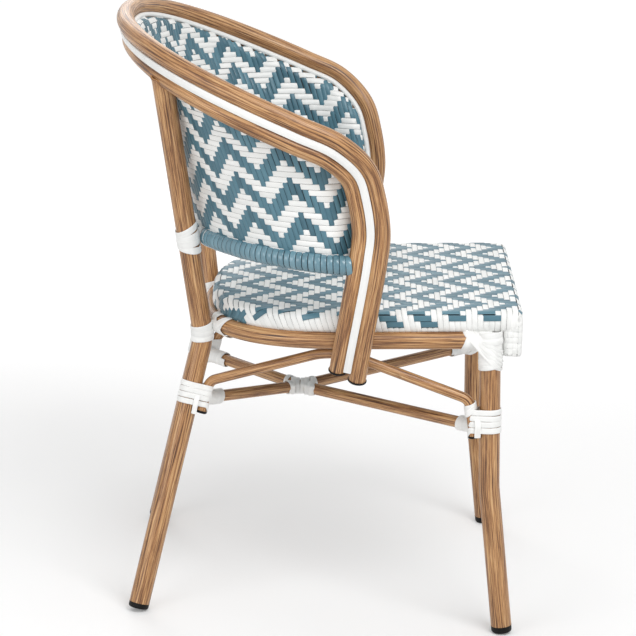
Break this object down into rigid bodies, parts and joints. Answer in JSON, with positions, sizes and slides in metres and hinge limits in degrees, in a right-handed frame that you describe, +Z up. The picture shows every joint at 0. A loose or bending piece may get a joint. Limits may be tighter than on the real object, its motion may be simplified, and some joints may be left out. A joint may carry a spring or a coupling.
{
  "type": "rattan bistro armchair",
  "caption": "Bistro armchair with a bent tube frame in a rattan finish, horseshoe arm and back rails, woven strand seat and back, and crossed stretchers lashed with cord.",
  "frame": {"origin": "on the floor, under the middle of the chair's bounding box", "axes": "+Z up; -Y towards the front, where the sitter's legs go; +X to the sitter's left"},
  "size_m": [0.5682, 0.567, 0.8096],
  "materials": {
    "rattan_tube": "powder-coated aluminium tube with a printed wood grain, satin",
    "white_trim": "satin extruded strand",
    "white_strand": "satin extruded strand",
    "teal_strand": "glossy extruded strand",
    "seat_weave": "white and teal strands woven in chevrons, satin",
    "back_weave": "white and teal strands woven in chevrons, satin",
    "black_plastic": "matte moulded plastic",
    "bare_metal": "satin"
  },
  "bodies": {
    "root": {"arm_plug_inner_left": "black_plastic", "arm_plug_inner_right": "black_plastic", "arm_plug_outer_left": "black_plastic", "arm_plug_outer_right": "black_plastic", "arm_spacer_left": "bare_metal", "arm_spacer_right": "bare_metal", "back_lashing_left": "white_strand", "back_lashing_right": "white_strand", "back_lower_rail": "rattan_tube", "back_panel": "back_weave", "back_rail_wrap": "teal_strand", "brace_plug_front_left": "black_plastic", "brace_plug_front_right": "black_plastic", "brace_plug_rear_left": "black_plastic", "brace_plug_rear_right": "black_plastic", "centre_lashing": "white_strand", "corner_lashing_left": "white_strand", "corner_lashing_right": "white_strand", "front_apron": "seat_weave", "front_foot_cap_left": "black_plastic", "front_foot_cap_right": "black_plastic", "front_leg_left": "rattan_tube", "front_leg_right": "rattan_tube", "inner_piping": "white_trim", "inner_rail": "rattan_tube", "leg_lashing_front_left": "white_strand", "leg_lashing_front_right": "white_strand", "leg_lashing_rear_left": "white_strand", "leg_lashing_rear_right": "white_strand", "outer_rail": "rattan_tube", "outer_strip": "white_trim", "rear_foot_cap_left": "black_plastic", "rear_foot_cap_right": "black_plastic", "rear_leg_left": "rattan_tube", "rear_leg_right": "rattan_tube", "seat_frame_rail": "rattan_tube", "seat_lashing_left": "white_strand", "seat_lashing_right": "white_strand", "seat_panel": "seat_weave", "side_brace_left": "rattan_tube", "side_brace_right": "rattan_tube", "stretcher_half_front": "rattan_tube", "stretcher_half_rear": "rattan_tube", "stretcher_sleeve_front_left": "white_strand", "stretcher_sleeve_front_right": "white_strand", "stretcher_sleeve_rear_left": "white_strand", "stretcher_sleeve_rear_right": "white_strand", "stretcher_through": "rattan_tube"}
  },
  "joints": []
}
